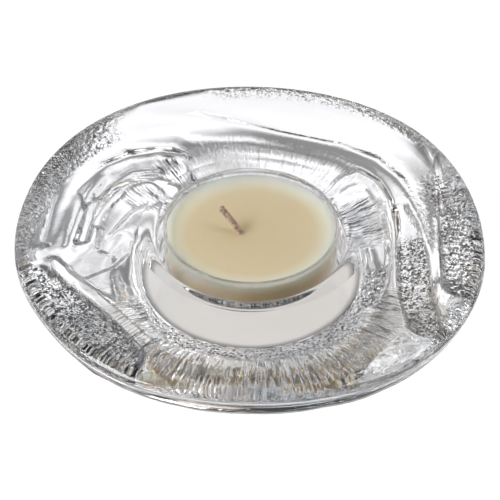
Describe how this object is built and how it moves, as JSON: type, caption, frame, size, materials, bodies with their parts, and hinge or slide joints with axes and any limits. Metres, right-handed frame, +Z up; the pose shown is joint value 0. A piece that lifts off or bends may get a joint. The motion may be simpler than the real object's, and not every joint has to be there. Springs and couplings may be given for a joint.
{
  "type": "tealight holder",
  "caption": "Thick clear pressed-glass tealight holder with a swirl-relief underside, holding a wax tealight in a clear cup that lifts out of its recess.",
  "frame": {"origin": "centre of the recess axis on the resting plane, so z = 0 is the surface the glass stands on", "axes": "+Z up along the recess axis; -Y towards the viewer in the front view, +X to the right"},
  "size_m": [0.1031, 0.1049, 0.0298],
  "materials": {
    "clear_glass": "polished",
    "clear_cup": "gloss",
    "candle_wax": "satin",
    "wick_cotton": "matte",
    "tinned_steel": "satin"
  },
  "bodies": {
    "holder": {"glass_body": "clear_glass"},
    "tealight": {"tealight_cup": "clear_cup", "wax": "candle_wax", "wick": "wick_cotton", "wick_sustainer": "tinned_steel"}
  },
  "joints": [
    {"name": "tealight_lift", "type": "slide", "parent": "holder", "child": "tealight", "axis": [0, 0, 1], "range_m": [0, 0.03]}
  ]
}
